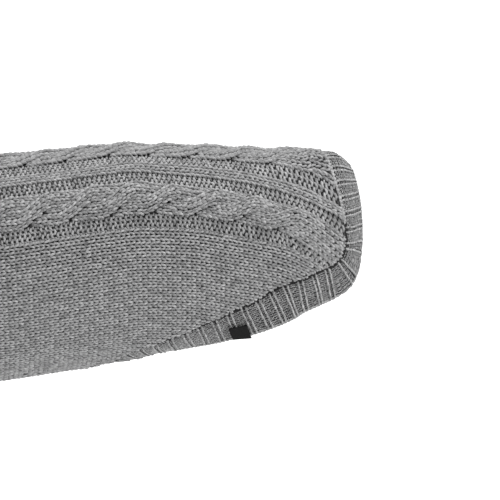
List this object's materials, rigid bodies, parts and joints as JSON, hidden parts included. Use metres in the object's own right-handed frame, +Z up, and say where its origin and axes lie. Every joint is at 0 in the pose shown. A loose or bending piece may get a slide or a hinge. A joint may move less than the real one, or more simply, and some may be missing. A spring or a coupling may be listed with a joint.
{
  "type": "dog sweater",
  "caption": "Cable-knit sweater for a small dog in its worn form: raised cables along the back, ribbed collar, leg cuffs and hem band.",
  "frame": {"origin": "on the spine line at mid back, on the inside of the cloth, where the wearer's back carries it", "axes": "+X towards the tail, +Z up, -Y towards the dog's left side"},
  "size_m": [0.5014, 0.1802, 0.1966],
  "materials": {
    "knit_body": "mid-grey marled knit",
    "knit_rib": "mid-grey marled ribbing",
    "tag_weave": "black woven ribbon, blank"
  },
  "bodies": {
    "root": {"back_panel": "knit_body", "belly_panel": "knit_body", "hem_band": "knit_rib", "collar": "knit_rib", "cuff_left": "knit_rib", "cuff_right": "knit_rib", "tag": "tag_weave"}
  },
  "joints": []
}
